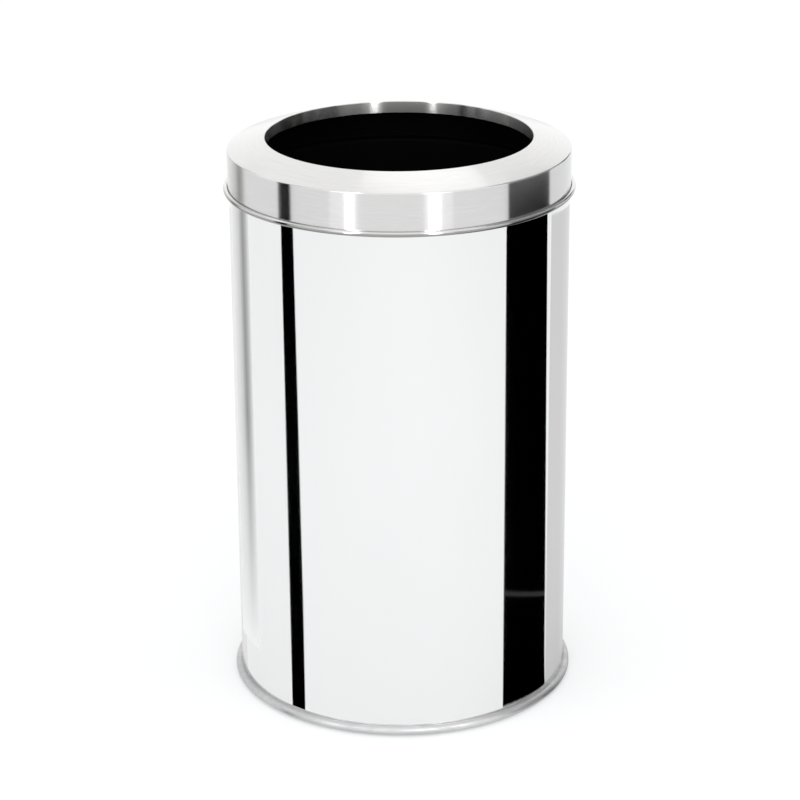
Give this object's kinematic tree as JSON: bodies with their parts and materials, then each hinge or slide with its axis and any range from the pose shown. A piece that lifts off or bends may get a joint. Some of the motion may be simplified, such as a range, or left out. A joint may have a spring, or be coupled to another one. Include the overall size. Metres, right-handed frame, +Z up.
{
  "type": "litter bin",
  "caption": "Round free-standing litter bin: mirror-polished tube on a half-round base hoop, lift-off brushed ring with a conical top, and a black inner pail with a bail.",
  "frame": {"origin": "on the floor, on the bin's axis, in the plane of the bottoms of the four feet", "axes": "+Z up along the bin's axis; +Y towards the back, where the tube's lap seam is; +X to the right"},
  "size_m": [0.3068, 0.3068, 0.5017],
  "materials": {
    "mirror_steel": "mirror-polished stainless sheet",
    "hoop_steel": "satin-polished rolled strip",
    "plain_steel": "plain mill-finish sheet",
    "brushed_steel": "fine brushing that runs around the ring",
    "zinc_fastener": "bright zinc plate",
    "bail_steel": "bright drawn wire",
    "black_coated_steel": "matt black coating",
    "black_plastic": "fine-grained moulded plastic",
    "black_rubber": "moulded rubber"
  },
  "bodies": {
    "bin_body": {"body_shell": "mirror_steel", "rim_band": "plain_steel", "base_pan": "plain_steel", "base_hoop": "hoop_steel", "foot_front_left": "black_rubber", "foot_front_right": "black_rubber", "foot_rear_left": "black_rubber", "foot_rear_right": "black_rubber", "foot_screws": "zinc_fastener", "foot_washers": "zinc_fastener", "foot_nuts": "zinc_fastener"},
    "pail": {"pail_wall": "black_coated_steel", "pail_bottom": "black_coated_steel", "ear_left": "zinc_fastener", "ear_right": "zinc_fastener", "ear_rivets": "zinc_fastener"},
    "ring": {"ring_cover": "brushed_steel", "ring_buffers": "black_rubber"},
    "bail": {"bail_wire": "bail_steel"},
    "grip": {"bail_grip": "black_plastic"}
  },
  "joints": [
    {"name": "pail_lift", "type": "slide", "parent": "bin_body", "child": "pail", "axis": [0, 0, 1], "range_m": [0, 0.5]},
    {"name": "ring_lift", "type": "slide", "parent": "pail", "child": "ring", "axis": [0, 0, 1], "range_m": [0, 0.4]},
    {"name": "bail_swing", "type": "hinge", "parent": "pail", "child": "bail", "pos_m": [0, 0, 0.4697], "axis": [-1, 0, 0], "range_deg": [0, 180]},
    {"name": "grip_spin", "type": "hinge", "parent": "bail", "child": "grip", "pos_m": [0, -0.126, 0.4697], "axis": [1, 0, 0], "continuous": true}
  ],
  "couplings": [
    {"joint": "bail_swing", "follows": "ring_lift", "rad_per_m": 7.854}
  ]
}
